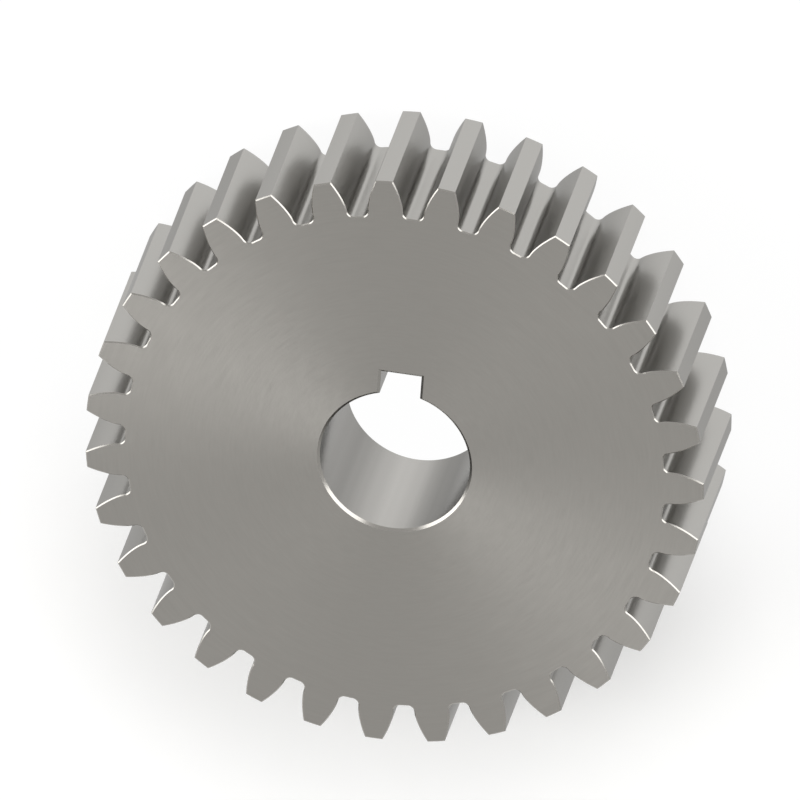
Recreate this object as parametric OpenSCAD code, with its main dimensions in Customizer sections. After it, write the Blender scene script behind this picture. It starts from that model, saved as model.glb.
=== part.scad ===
// Spur gear wheel: a flat steel disc with straight teeth, a plain bore and one keyway.
// It lies on its rear face at z = 0, the bore axis is the z axis, and the keyway points to +y,
// in line with a gap between two teeth. All sizes are in millimetres and degrees.

/* [Teeth] */
// Number of teeth
tooth_count = 31; // [24:1:40]
// Module: reference diameter divided by the number of teeth
tooth_module = 2.5; // [2:0.25:4]
// Angle of the flank at the reference circle
pressure_angle = 17.5; // [14.5:0.5:20]
// Height of a tooth above the reference circle, in modules
addendum = 1; // [0.8:0.05:1]
// Depth of a gap below the reference circle, in modules
dedendum = 1.107; // [1.05:0.001:1.2]
// Thickness of a tooth on the reference circle, in modules
tooth_thickness = 1.668; // [1.5:0.001:1.7]
// Radius between flank and gap floor, in modules
root_fillet = 0.346; // [0.2:0.002:0.38]

/* [Disc] */
// Width over the two faces
face_width = 20.5; // [12:0.5:40]
// Bevel around the teeth on both faces
edge_break = 0.2; // [0.1:0.05:0.4]

/* [Bore] */
// Bore diameter
bore_d = 20; // [16:0.5:24]
// Bevel at both ends of the bore
bore_bevel = 0.35; // [0.2:0.05:0.8]
// Keyway width
key_w = 5.4; // [4:0.1:8]
// Depth of the keyway beyond the bore wall
key_depth = 2.9; // [1.5:0.1:4]

/* [Hidden] */
reference_r = tooth_count * tooth_module / 2;
base_r = reference_r * cos(pressure_angle);
tip_r = reference_r + addendum * tooth_module;
root_r = reference_r - dedendum * tooth_module;
fillet_r = root_fillet * tooth_module;
fillet_centre_r = root_r + fillet_r;
straight_width = face_width - 2 * edge_break;
// In a shallow gap the fillet meets the involute itself, and otherwise the radial run below it.
meets_involute = pow(fillet_centre_r, 2) - pow(fillet_r, 2) > pow(base_r, 2);
flank_steps = 7;
fillet_steps = 5;
overshoot = 1;

function involute(a) = tan(a) * 180 / PI - a;

// Half the angle a tooth fills at radius r.
function half_angle(r) =
    let (a = acos(min(1, base_r / r)))
    tooth_thickness * tooth_module / reference_r / 2 * 180 / PI + involute(pressure_angle) - involute(a);

// The curve from the gap floor to the flank, as [radius, angle from the tooth's middle].
function fillet() =
    let (
        slope = meets_involute ? acos(base_r / fillet_centre_r) : asin(fillet_r / fillet_centre_r),
        middle = meets_involute
            ? half_angle(fillet_centre_r) + fillet_r / base_r * 180 / PI
            : half_angle(base_r) + slope,
        first = middle + 180,
        last = middle + 270 - slope
    )
    [for (k = [0 : fillet_steps - 1])
        let (
            a = first + (last - first) * k / fillet_steps,
            x = fillet_centre_r * cos(middle) + fillet_r * cos(a),
            y = fillet_centre_r * sin(middle) + fillet_r * sin(a)
        )
        [norm([x, y]), atan2(y, x)]];

function flank() =
    let (
        low = meets_involute
            ? norm([base_r, sqrt(pow(fillet_centre_r, 2) - pow(base_r, 2)) - fillet_r])
            : base_r * 1.0005
    )
    [for (k = [0 : flank_steps])
        let (r = low + (tip_r - low) * pow(k / flank_steps, 1.15))
        [r, half_angle(r)]];

// One side of a tooth, from the middle of the gap to the middle of the tip.
function tooth_side() = concat([[root_r, 180 / tooth_count]], fillet(), flank(), [[tip_r, 0]]);

// A whole tooth, without the gap point it shares with the next one.
function tooth() =
    let (side = tooth_side(), last = len(side) - 1)
    concat(
        [for (k = [0 : last]) [side[k][0], -side[k][1]]],
        [for (k = [1 : last - 1]) side[last - k]]
    );

function outline() =
    let (one = tooth())
    [for (i = [0 : tooth_count - 1], p = one)
        let (a = p[1] + 90 + (i + 0.5) * 360 / tooth_count)
        p[0] * [cos(a), sin(a)]];

function left_of(a, b) = let (v = (b - a) / norm(b - a)) [-v[1], v[0]];

// The same outline with every edge moved inwards by d.
function drawn_in(points, d) =
    let (n = len(points))
    [for (k = [0 : n - 1])
        let (
            before = left_of(points[(k + n - 1) % n], points[k]),
            after = left_of(points[k], points[(k + 1) % n])
        )
        points[k] + d * (before + after) / (1 + before * after)];

function raised(points, z) = [for (p = points) [p[0], p[1], z]];

function rim_faces(n) = [
    for (k = [0 : n - 1])
        let (next = (k + 1) % n)
        each [[k, k + n, next + n], [k, next + n, next]]
];

// Each cap is strips across every tooth, then one triangle from its foot to the centre.
function cap_faces(n, start, centre) =
    let (
        per = n / tooth_count,
        tip = per / 2,
        at = function (i, j) start + (i * per + j) % n
    )
    [for (i = [0 : tooth_count - 1]) each concat(
        [[centre, at(i, per), at(i, 0)]],
        [for (k = [0 : tip - 2]) [at(i, k), at(i, per - k), at(i, per - k - 1), at(i, k + 1)]],
        [[at(i, tip - 1), at(i, tip + 1), at(i, tip)]]
    )];

function reversed(faces) = [for (f = faces) [for (k = [len(f) - 1 : -1 : 0]) f[k]]];

// The thin layer at one face, where the outline draws in by the edge break.
module bevel_layer(low_z, low, high_z, high) {
    n = len(low);
    polyhedron(
        points = concat(raised(low, low_z), raised(high, high_z), [[0, 0, low_z], [0, 0, high_z]]),
        faces = concat(rim_faces(n), reversed(cap_faces(n, 0, 2 * n)), cap_faces(n, n, 2 * n + 1))
    );
}

module toothed_disc() {
    full = outline();
    small = drawn_in(full, edge_break);
    translate([0, 0, edge_break])
        linear_extrude(height = straight_width)
            polygon(full);
    bevel_layer(0, small, edge_break, full);
    bevel_layer(edge_break + straight_width, full, face_width, small);
}

module bore_cutter() {
    r = bore_d / 2;
    wide = r + bore_bevel + overshoot;
    rotate_extrude($fn = 144)
        polygon([
            [0, -overshoot],
            [wide, -overshoot],
            [r, bore_bevel],
            [r, face_width - bore_bevel],
            [wide, face_width + overshoot],
            [0, face_width + overshoot]
        ]);
}

module keyway_cutter() {
    translate([-key_w / 2, 0, -overshoot])
        cube([key_w, bore_d / 2 + key_depth, face_width + 2 * overshoot]);
}

module gear_wheel() {
    color([0.6, 0.59, 0.56])
        difference() {
            toothed_disc();
            bore_cutter();
            keyway_cutter();
        }
}

gear_wheel();
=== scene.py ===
import math

import bpy
from mathutils import Matrix, Vector


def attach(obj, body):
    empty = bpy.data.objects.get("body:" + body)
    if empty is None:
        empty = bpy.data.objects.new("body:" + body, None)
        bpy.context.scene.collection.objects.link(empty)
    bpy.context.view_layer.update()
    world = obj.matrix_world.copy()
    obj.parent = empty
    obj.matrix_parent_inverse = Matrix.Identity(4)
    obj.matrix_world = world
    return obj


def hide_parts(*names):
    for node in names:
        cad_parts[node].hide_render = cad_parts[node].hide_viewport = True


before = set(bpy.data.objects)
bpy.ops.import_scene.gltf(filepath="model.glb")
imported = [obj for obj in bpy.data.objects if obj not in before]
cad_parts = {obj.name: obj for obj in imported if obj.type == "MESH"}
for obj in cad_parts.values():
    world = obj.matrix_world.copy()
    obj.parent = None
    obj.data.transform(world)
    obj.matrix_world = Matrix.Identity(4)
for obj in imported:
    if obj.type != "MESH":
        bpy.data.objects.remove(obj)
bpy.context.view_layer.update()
print("Frame loaded:", sorted(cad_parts))


# Small helpers for node trees: a Wire is an output socket that can be added, multiplied and so on.

class Wire:
    def __init__(self, tree, socket):
        self.tree = tree
        self.socket = socket

    def __add__(self, other):
        return calc(self.tree, "ADD", self, other)

    def __sub__(self, other):
        return calc(self.tree, "SUBTRACT", self, other)

    def __mul__(self, other):
        return calc(self.tree, "MULTIPLY", self, other)

    def __truediv__(self, other):
        return calc(self.tree, "DIVIDE", self, other)

    def __gt__(self, other):
        return calc(self.tree, "GREATER_THAN", self, other)

    def __lt__(self, other):
        return calc(self.tree, "LESS_THAN", self, other)


def plug(tree, value, socket):
    if isinstance(value, Wire):
        tree.links.new(value.socket, socket)
    else:
        socket.default_value = value


def calc(tree, operation, *values):
    node = tree.nodes.new("ShaderNodeMath")
    node.operation = operation
    for slot, value in enumerate(values):
        plug(tree, value, node.inputs[slot])
    return Wire(tree, node.outputs[0])


def place(tree, kind, output=0, settings=None, **inputs):
    # A node of that kind. Inputs are given by name, with spaces left out.
    node = tree.nodes.new(kind)
    for key, value in (settings or {}).items():
        setattr(node, key, value)
    for key, value in inputs.items():
        socket = next(s for s in node.inputs if s.name.replace(" ", "") == key and s.enabled)
        plug(tree, value, socket)
    return Wire(tree, node.outputs[output])


def point(tree, x, y, z=0.0):
    return place(tree, "ShaderNodeCombineXYZ", X=x, Y=y, Z=z)


def split(tree, vector):
    node = place(tree, "ShaderNodeSeparateXYZ", Vector=vector).socket.node
    return [Wire(tree, s) for s in node.outputs]


def vectorCalc(tree, operation, vector, other=None, output="Vector"):
    node = tree.nodes.new("ShaderNodeVectorMath")
    node.operation = operation
    plug(tree, vector, node.inputs[0])
    if other is not None:
        plug(tree, other, node.inputs["Scale" if operation == "SCALE" else 1])
    return Wire(tree, node.outputs[output])


def turned(tree, vector, angle):
    return place(tree, "ShaderNodeVectorRotate", settings={"rotation_type": "Z_AXIS"},
                 Vector=vector, Angle=angle)


def polar(tree, radius, angle):
    return turned(tree, point(tree, radius, 0.0), angle)


def fromAxis(tree, x, y):
    return calc(tree, "SQRT", x * x + y * y)


def choose(tree, test, ifFalse, ifTrue):
    node = tree.nodes.new("GeometryNodeSwitch")
    node.input_type = "VECTOR"
    for slot, value in enumerate((test, ifFalse, ifTrue)):
        plug(tree, value, node.inputs[slot])
    return Wire(tree, node.outputs[0])


def graded(tree, value, between, levels):
    return place(tree, "ShaderNodeMapRange", settings={"interpolation_type": "SMOOTHSTEP"},
                 Value=value, FromMin=between[0], FromMax=between[1],
                 ToMin=levels[0], ToMax=levels[1])


def newTree(name, sizes):
    # A geometry tree with a named input for each size. The inputs come back twice: by name as
    # wires inside the tree, and as the identifiers that a modifier sets them by.
    tree = bpy.data.node_groups.new(name, "GeometryNodeTree")
    for way in ("INPUT", "OUTPUT"):
        tree.interface.new_socket("Geometry", in_out=way, socket_type="NodeSocketGeometry")
    identifiers = {}
    for label, value in sizes.items():
        kind = "NodeSocketInt" if isinstance(value, int) else "NodeSocketFloat"
        socket = tree.interface.new_socket(label, in_out="INPUT", socket_type=kind)
        socket.default_value = value
        identifiers[label] = socket.identifier
    start = tree.nodes.new("NodeGroupInput")
    return tree, {s.name: Wire(tree, s) for s in start.outputs if s.name}, identifiers


def endTree(tree, geometry):
    tree.links.new(geometry.socket, tree.nodes.new("NodeGroupOutput").inputs[0])


# Materials

steel = {
    "colour": (0.44, 0.425, 0.398, 1.0),
    "cutColour": (0.425, 0.418, 0.402, 1.0),  # teeth and bore, a little greyer than the faces
    "faceRoughness": 0.36,
    "faceAnisotropy": 0.75,
    "flankRoughness": 0.30,
    "boreRoughness": 0.22,
    "edgeRoughness": 0.25,
    "grazingTint": 0.65,  # how bright the walls are when seen at a flat angle
    "ringsPerMetre": 3600.0,  # fineness of the turning marks
    "strokesPerTurn": 8.0,  # how often they break off along a ring
    "ringDepth": 0.07,  # how far the marks vary the roughness
    "ringShade": 0.06,  # and the colour
    "boreBands": 5.0,  # painted reflection bands along the bore
    "boreBandTurn": math.radians(265.0),
    "boreShade": 0.87,  # painted shade of the bore against the rest, and how far the painted reflection bands vary it
    "boreBandShade": 0.18,
    "boreStreaks": 4.5,  # finer streaks beside the bands, partly tool marks along the axis and partly painted reflection
    "boreStreakShade": 0.11,
}


def metal(name, roughness, colour=steel["colour"], anisotropy=0.0, grazingTint=1.0):
    material = bpy.data.materials.new(name)
    material.use_nodes = True
    shader = material.node_tree.nodes["Principled BSDF"]
    shader.inputs["Base Color"].default_value = colour
    shader.inputs["Metallic"].default_value = 1.0
    shader.inputs["Roughness"].default_value = roughness
    shader.inputs["Anisotropic"].default_value = anisotropy
    shader.inputs["Specular Tint"].default_value = (grazingTint, grazingTint, grazingTint, 1.0)
    return material, material.node_tree, shader


def varied(noise, depth, middle):
    # Noise from 0 to 1 as a value that swings by depth to both sides of the middle.
    return (noise - 0.5) * (2 * depth) + middle


def turnedFace():
    # Rings left by the lathe: the gloss stretches outwards, across them.
    material, tree, shader = metal("turnedFace", steel["faceRoughness"],
                                   anisotropy=steel["faceAnisotropy"])
    where = place(tree, "ShaderNodeTexCoord", output="Object")
    outwards = vectorCalc(tree, "MULTIPLY", where, (1.0, 1.0, 0.0))
    plug(tree, outwards, shader.inputs["Tangent"])
    radius = vectorCalc(tree, "LENGTH", outwards, output="Value")
    x, y, _ = split(tree, vectorCalc(tree, "NORMALIZE", outwards))
    strokes = steel["strokesPerTurn"]
    rings = point(tree, x * strokes, y * strokes, radius * steel["ringsPerMetre"])
    noise = place(tree, "ShaderNodeTexNoise", Vector=rings, Scale=1.0, Detail=3.0, Roughness=0.6)
    rough = varied(noise, steel["ringDepth"], steel["faceRoughness"])
    shade = varied(noise, steel["ringShade"], 1.0)
    plug(tree, rough, shader.inputs["Roughness"])
    plug(tree, vectorCalc(tree, "SCALE", steel["colour"][:3], shade), shader.inputs["Base Color"])
    return material


def boredWall():
    # Painted reflection bands and a painted darker level run along the bore, from one face to the
    # other, with finer streaks that are partly tool marks and partly painted reflection.
    material, tree, shader = metal("boredWall", steel["boreRoughness"], steel["cutColour"],
                                   grazingTint=steel["grazingTint"])
    x, y, _ = split(tree, place(tree, "ShaderNodeTexCoord", output="Object"))
    around = calc(tree, "ARCTAN2", y, x)
    # Painted reflections: bands of light and dark round the bore, put into its colour.
    paintedBand = calc(tree, "COSINE", (around - steel["boreBandTurn"]) * steel["boreBands"])
    # Streaks along the bore: in part tool marks, in part painted reflection.
    streakAndSheen = place(tree, "ShaderNodeTexNoise", Vector=polar(tree, steel["boreStreaks"], around),
                   Scale=1.0, Detail=2.0)
    # The bore's colour is darkened by a painted shade level and carries the painted reflection
    # bands and streaks.
    shade = paintedBand * steel["boreBandShade"] + varied(streakAndSheen, steel["boreStreakShade"],
                                                   steel["boreShade"])
    plug(tree, vectorCalc(tree, "SCALE", steel["cutColour"][:3], shade),
         shader.inputs["Base Color"])
    return material


faceSteel = turnedFace()
flankSteel = metal("cutTeeth", steel["flankRoughness"], steel["cutColour"],
                   grazingTint=steel["grazingTint"])[0]
boreSteel = boredWall()
edgeSteel = metal("brokenEdge", steel["edgeRoughness"])[0]
print("Materials made")


# The wheel. Lengths are in metres, and the tooth sizes in modules.

wheelSizes = {
    "Teeth": 31,
    "Module": 0.0025,
    "Flank angle": math.radians(17.5),
    "Addendum": 1.0,
    "Dedendum": 1.107,
    "Tooth thickness": 1.668,
    "Root fillet": 0.346,
    "Face width": 0.0205,
    "Bore radius": 0.010,
    "Keyway width": 0.0054,
    "Keyway floor": 0.0129,
    "Edge break": 0.00015,
    "Bore bevel": 0.00035,
}

# Everything nearer to the axis than the keyway's corners is bored wall.
keywayCorner = math.hypot(wheelSizes["Keyway width"] / 2, wheelSizes["Keyway floor"])

finishSizes = {
    "Bore region": keywayCorner + wheelSizes["Bore bevel"],
    "Flat": 0.99,  # how straight along the axis a face of the disc looks
    "Slanted": 0.3,  # and a bevel
    "Crisp corner": math.radians(25.0),
}

# Points on half a tooth, from the middle of its tip to the middle of the gap.
halfTooth = {"tip": 3, "flank": 16, "fillet": 9, "gapFloor": 2}
borePoints = 180
squareCorner = math.radians(60.0)  # edges sharper than this get a bevel
tiny = 0.00001  # smaller lengths count as none
mergeWithin = tiny / 10
widestBevel = max(wheelSizes["Edge break"], wheelSizes["Bore bevel"])


def toothOutline(tree, size):
    teeth, module = size["Teeth"], size["Module"]
    reference = teeth * module / 2.0
    base = reference * calc(tree, "COSINE", size["Flank angle"])
    tip = reference + size["Addendum"] * module
    root = reference - size["Dedendum"] * module
    fillet = size["Root fillet"] * module
    filletCentre = root + fillet
    flankFoot = calc(tree, "SQRT", filletCentre * filletCentre - fillet * fillet)
    halfOnReference = size["Tooth thickness"] * module / reference / 2.0

    def involute(angle):
        return calc(tree, "TANGENT", angle) - angle

    def halfAngle(radius):
        slope = calc(tree, "ARCCOSINE", calc(tree, "MINIMUM", base / radius, 1.0))
        return halfOnReference + involute(size["Flank angle"]) - involute(slope)

    # Counted from the middle of the tip: along is the step, side is -1 or 1.
    perHalf = sum(halfTooth.values())
    index = place(tree, "GeometryNodeInputIndex")
    tooth = calc(tree, "FLOOR", index / (2.0 * perHalf))
    step = index - tooth * (2.0 * perHalf) - float(perHalf)
    along = calc(tree, "ABSOLUTE", step)
    side = calc(tree, "SIGN", step)

    tipEnd = halfTooth["tip"]
    flankEnd = tipEnd + halfTooth["flank"]
    filletEnd = flankEnd + halfTooth["fillet"]

    def shareOf(part, start):
        return (along - float(start)) / float(halfTooth[part])

    onTip = polar(tree, tip, halfAngle(tip) * along / float(tipEnd))

    flankRadius = tip + (flankFoot - tip) * shareOf("flank", tipEnd)
    onFlank = polar(tree, flankRadius, halfAngle(flankRadius))

    foot = halfAngle(base)
    filletMiddle = foot + calc(tree, "ARCSINE", fillet / filletCentre)
    fromFlank = foot + math.radians(270.0)
    toFloor = filletMiddle + math.radians(180.0)
    swing = fromFlank + (toFloor - fromFlank) * shareOf("fillet", flankEnd)
    onFillet = vectorCalc(tree, "ADD", polar(tree, filletCentre, filletMiddle),
                          polar(tree, fillet, swing))

    gapHalf = calc(tree, "DIVIDE", math.pi, teeth)
    towardGap = (gapHalf - filletMiddle) * shareOf("gapFloor", filletEnd)
    onFloor = polar(tree, root, filletMiddle + towardGap)

    # Past the last point of each part, the next part takes over.
    oneSide = onTip
    for end, following in ((tipEnd, onFlank), (flankEnd, onFillet), (filletEnd, onFloor)):
        oneSide = choose(tree, along > end + 0.5, oneSide, following)

    x, y, _ = split(tree, oneSide)
    angle = (tooth + 0.5) * gapHalf * 2.0 + math.pi / 2
    return redrawn(tree, teeth * (2.0 * perHalf), turned(tree, point(tree, x, y * side), angle))


def boreOutline(tree, size):
    # Points 1 and 2 are the corners of the keyway floor, and the rest go round the bore.
    half = size["Keyway width"] / 2.0
    opening = calc(tree, "ARCSINE", half / size["Bore radius"])
    index = place(tree, "GeometryNodeInputIndex")
    steps = float(borePoints - 3)
    around = calc(tree, "MODULO", index + steps, float(borePoints)) / steps
    sweep = opening * 2.0 - 2.0 * math.pi
    onCircle = polar(tree, size["Bore radius"], (opening * -1.0) + math.pi / 2 + sweep * around)
    onFloor = point(tree, half * ((index > 1.5) * 2.0 - 1.0), size["Keyway floor"])
    isCorner = calc(tree, "COMPARE", index, 1.5, 0.6)  # within 0.6 of 1.5
    return redrawn(tree, borePoints, choose(tree, isCorner, onCircle, onFloor))


def redrawn(tree, points, positions):
    # A closed curve of that many points, each of them moved to its position.
    circle = place(tree, "GeometryNodeCurvePrimitiveCircle", Resolution=points)
    return place(tree, "GeometryNodeSetPosition", Geometry=circle, Position=positions)


def joined(tree, *parts):
    node = tree.nodes.new("GeometryNodeJoinGeometry")
    for part in parts:
        tree.links.new(part.socket, node.inputs[0])
    return Wire(tree, node.outputs[0])


def edgePlace(tree):
    # Height and distance from the axis of whatever is being looked at.
    x, y, z = split(tree, place(tree, "GeometryNodeInputPosition"))
    return z, fromAxis(tree, x, y)


def blankTree():
    tree, size, identifiers = newTree("wheelBlank", wheelSizes)
    outlines = joined(tree, toothOutline(tree, size), boreOutline(tree, size))
    plate = place(tree, "GeometryNodeFillCurve", settings={"mode": "NGONS"}, Curve=outlines)
    walls = place(tree, "GeometryNodeExtrudeMesh", Mesh=plate, Offset=point(tree, 0.0, 0.0, 1.0),
                  OffsetScale=size["Face width"], Individual=False)
    underside = place(tree, "GeometryNodeFlipFaces", Mesh=plate)
    body = place(tree, "GeometryNodeMergeByDistance", Geometry=joined(tree, walls, underside),
                 Distance=mergeWithin)

    # Bevel weights: a fine break along the teeth, and a wider bevel round the bore and keyway.
    z, radius = edgePlace(tree)
    middle = size["Face width"] / 2.0
    onFace = calc(tree, "ABSOLUTE", z - middle) > middle - tiny
    square = place(tree, "GeometryNodeInputMeshEdgeAngle") > squareCorner
    onTeeth = radius > size["Bore radius"] * 2.0
    width = size["Bore bevel"] + onTeeth * (size["Edge break"] - size["Bore bevel"])
    body = place(tree, "GeometryNodeStoreNamedAttribute",
                 settings={"data_type": "FLOAT", "domain": "EDGE"}, Geometry=body,
                 Name="bevel_weight_edge", Value=onFace * square * width / widestBevel)
    body = place(tree, "GeometryNodeRealizeInstances", Geometry=body)
    endTree(tree, place(tree, "GeometryNodeSetMaterial", Geometry=body, Material=flankSteel))
    return tree, identifiers


def finishTree():
    # Corners are kept crisp, and each surface gets its own finish.
    tree, size, identifiers = newTree("wheelFinish", finishSizes)
    body = place(tree, "GeometryNodeSetShadeSmooth", settings={"domain": "FACE"},
                 Geometry=size["Geometry"], ShadeSmooth=True)
    crisp = place(tree, "GeometryNodeInputMeshEdgeAngle") > size["Crisp corner"]
    body = place(tree, "GeometryNodeSetShadeSmooth", settings={"domain": "EDGE"},
                 Geometry=body, Selection=crisp, ShadeSmooth=False)
    body = place(tree, "GeometryNodeRealizeInstances", Geometry=body)

    radius = edgePlace(tree)[1]
    _, _, normalZ = split(tree, place(tree, "GeometryNodeInputNormal"))
    level = calc(tree, "ABSOLUTE", normalZ)
    body = place(tree, "GeometryNodeSetMaterial", Geometry=body, Material=flankSteel)
    for finish, region in (
        (boreSteel, radius < size["Bore region"]),
        (edgeSteel, level > size["Slanted"]),
        (faceSteel, level > size["Flat"]),
    ):
        body = place(tree, "GeometryNodeSetMaterial", Geometry=body, Selection=region,
                     Material=finish)
    endTree(tree, body)
    return tree, identifiers


def addTree(wheel, name, treeAndInputs, sizes):
    modifier = wheel.modifiers.new(name, "NODES")
    modifier.node_group, identifiers = treeAndInputs
    for label, value in sizes.items():
        modifier[identifiers[label]] = value


def makeWheel():
    wheel = bpy.data.objects.new("gearWheel", bpy.data.meshes.new("gearWheel"))
    bpy.context.scene.collection.objects.link(wheel)
    addTree(wheel, "blank", blankTree(), wheelSizes)
    bevel = wheel.modifiers.new("bevel", "BEVEL")
    bevel.limit_method = "WEIGHT"
    bevel.width = widestBevel
    bevel.segments = 1
    bevel.use_clamp_overlap = False
    addTree(wheel, "finish", finishTree(), finishSizes)
    made = wheel.evaluated_get(bpy.context.evaluated_depsgraph_get())
    mesh = bpy.data.meshes.new_from_object(made)
    wheel.modifiers.clear()
    wheel.data = mesh
    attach(wheel, "root")
    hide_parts("gear_wheel")
    return wheel


wheel = makeWheel()
print("Wheel made:", len(wheel.data.polygons), "faces")


# Floor and light

studio = {
    "floorSize": 6.0,
    "floorColour": (0.95, 0.95, 0.945, 1.0),
    "openFloor": 0.91,  # how bright the lamps make the floor away from the wheel
    "shadowShare": (0.95, 0.08),  # how much of the shadow shows, nearer and further off
    "shadowFrom": (-0.040, 0.000),  # where along y that changes
    "shadowInBore": 0.01,
    "boreSpot": wheelSizes["Keyway floor"] * 1.1,  # radius of the floor inside bore and keyway
    "worldColour": (1.0, 0.995, 0.985, 1.0),
    "worldLevel": 0.6,
    "mirrored": (0.84, 1.16),  # the backdrop that the walls mirror, its dimmer and brighter side
    "mirroredToward": math.radians(80.0),
    "mirroredFrom": (-0.10, 0.42),
    "lamps": {  # direction from the wheel, distance, size across and along, brightness
        "rightLamp": ((0.72, 0.54, 0.44), 0.60, 0.56, 0.40, 2.2),
        "leftLamp": ((-0.93, 0.28, 0.29), 0.60, 0.56, 0.30, 2.4),
        "sideLamp": ((-0.75, -0.14, 0.64), 0.60, 0.36, 0.36, 2.3),
        "shadowLamp": ((0.10, 0.80, 0.60), 0.60, 0.30, 0.30, 3.4),
    },
    "floorOnly": ("shadowLamp",),  # lamps that light just the floor
}


def makeFloor():
    half = studio["floorSize"] / 2
    mesh = bpy.data.meshes.new("floor")
    corners = [(-half, -half, 0), (half, -half, 0), (half, half, 0), (-half, half, 0)]
    mesh.from_pydata(corners, [], [(0, 1, 2, 3)])
    floor = bpy.data.objects.new("floor", mesh)
    bpy.context.scene.collection.objects.link(floor)
    material = bpy.data.materials.new("paleFloor")
    material.use_nodes = True
    tree = material.node_tree
    tree.nodes.clear()

    path = tree.nodes.new("ShaderNodeLightPath")
    camera, through, glossy, shadow = (
        Wire(tree, path.outputs["Is %s Ray" % kind])
        for kind in ("Camera", "Transmission", "Glossy", "Shadow"))
    seen = calc(tree, "MAXIMUM", camera, through)
    x, y, _ = split(tree, place(tree, "ShaderNodeTexCoord", output="Object"))
    # Inside the bore and keyway the floor glows white to the camera: its shade there is painted
    # out.
    inBore = fromAxis(tree, x, y) < studio["boreSpot"]
    outside = graded(tree, y, studio["shadowFrom"], studio["shadowShare"])
    share = outside + inBore * (outside * -1.0 + studio["shadowInBore"])

    # To the camera the floor is white, less a share of its shadow.
    colour = vectorCalc(tree, "SCALE", studio["floorColour"][:3], seen * (share - 1.0) + 1.0)
    lit = place(tree, "ShaderNodeBsdfDiffuse", Color=colour)
    white = place(tree, "ShaderNodeEmission",
                  Strength=seen * (share * -studio["openFloor"] + 1.0))
    both = tree.nodes.new("ShaderNodeAddShader")
    plug(tree, lit, both.inputs[0])
    plug(tree, white, both.inputs[1])

    # The steel looks through the floor to the backdrop under it.
    mix = tree.nodes.new("ShaderNodeMixShader")
    plug(tree, calc(tree, "MAXIMUM", glossy, shadow), mix.inputs[0])
    plug(tree, Wire(tree, both.outputs[0]), mix.inputs[1])
    plug(tree, place(tree, "ShaderNodeBsdfTransparent"), mix.inputs[2])
    end = tree.nodes.new("ShaderNodeOutputMaterial")
    plug(tree, Wire(tree, mix.outputs[0]), end.inputs["Surface"])
    mesh.materials.append(material)
    return floor


def makeLamp(name, direction, distance, across, along, brightness):
    data = bpy.data.lights.new(name, "AREA")
    data.shape = "RECTANGLE"
    data.size = across
    data.size_y = along
    data.energy = brightness * math.pi * across * along
    lamp = bpy.data.objects.new(name, data)
    lamp.location = Vector(direction).normalized() * distance
    lamp.rotation_mode = "QUATERNION"
    lamp.rotation_quaternion = (-lamp.location).to_track_quat("-Z", "Y")
    lamp.visible_camera = False
    bpy.context.scene.collection.objects.link(lamp)
    return lamp


def makeWorld():
    # An even light from above, and below the floor the backdrop, brighter on the far side.
    world = bpy.data.worlds.new("studio")
    world.use_nodes = True
    tree = world.node_tree
    sky = tree.nodes["Background"]
    sky.inputs["Color"].default_value = studio["worldColour"]
    x, y, z = split(tree, place(tree, "ShaderNodeTexCoord", output="Generated"))
    farSide = studio["mirroredToward"]
    toward = x * math.cos(farSide) + y * math.sin(farSide)
    below = graded(tree, toward, studio["mirroredFrom"], studio["mirrored"])
    level = below + (z > 0.0) * (below * -1.0 + studio["worldLevel"])
    plug(tree, level, sky.inputs["Strength"])
    bpy.context.scene.world = world


floorSet = bpy.data.collections.new("floorSet")
floorSet.objects.link(makeFloor())
for name, facts in studio["lamps"].items():
    lamp = makeLamp(name, *facts)
    if name in studio["floorOnly"]:
        lamp.light_linking.receiver_collection = floorSet
makeWorld()
print("Floor and lamps placed")


# Camera: no perspective, above the wheel and rolled so that the keyway points up.

view = {
    "azimuth": math.radians(74.8083),
    "elevation": math.radians(60.9560),
    "roll": math.radians(-158.4226),
    "width": 0.10494,  # what the frame spans
    "shiftRight": 0.000728,  # aim, from the middle of the front face
    "shiftUp": 0.008078,
    "distance": 0.5,
}


def makeCamera():
    azimuth, elevation, roll = view["azimuth"], view["elevation"], view["roll"]
    back = Vector((math.cos(elevation) * math.cos(azimuth),
                   math.cos(elevation) * math.sin(azimuth), math.sin(elevation)))
    level = Vector((-math.sin(azimuth), math.cos(azimuth), 0.0))
    right = level * math.cos(roll) + back.cross(level) * math.sin(roll)
    up = back.cross(right)
    front = Vector((0.0, 0.0, wheelSizes["Face width"]))
    aim = front + right * view["shiftRight"] + up * view["shiftUp"]
    data = bpy.data.cameras.new("camera")
    data.type = "ORTHO"
    data.ortho_scale = view["width"]
    camera = bpy.data.objects.new("camera", data)
    bpy.context.scene.collection.objects.link(camera)
    turn = Matrix((right, up, back)).transposed().to_4x4()
    camera.matrix_world = Matrix.Translation(aim + back * view["distance"]) @ turn
    bpy.context.scene.camera = camera


makeCamera()
bpy.context.scene.view_settings.view_transform = "Standard"
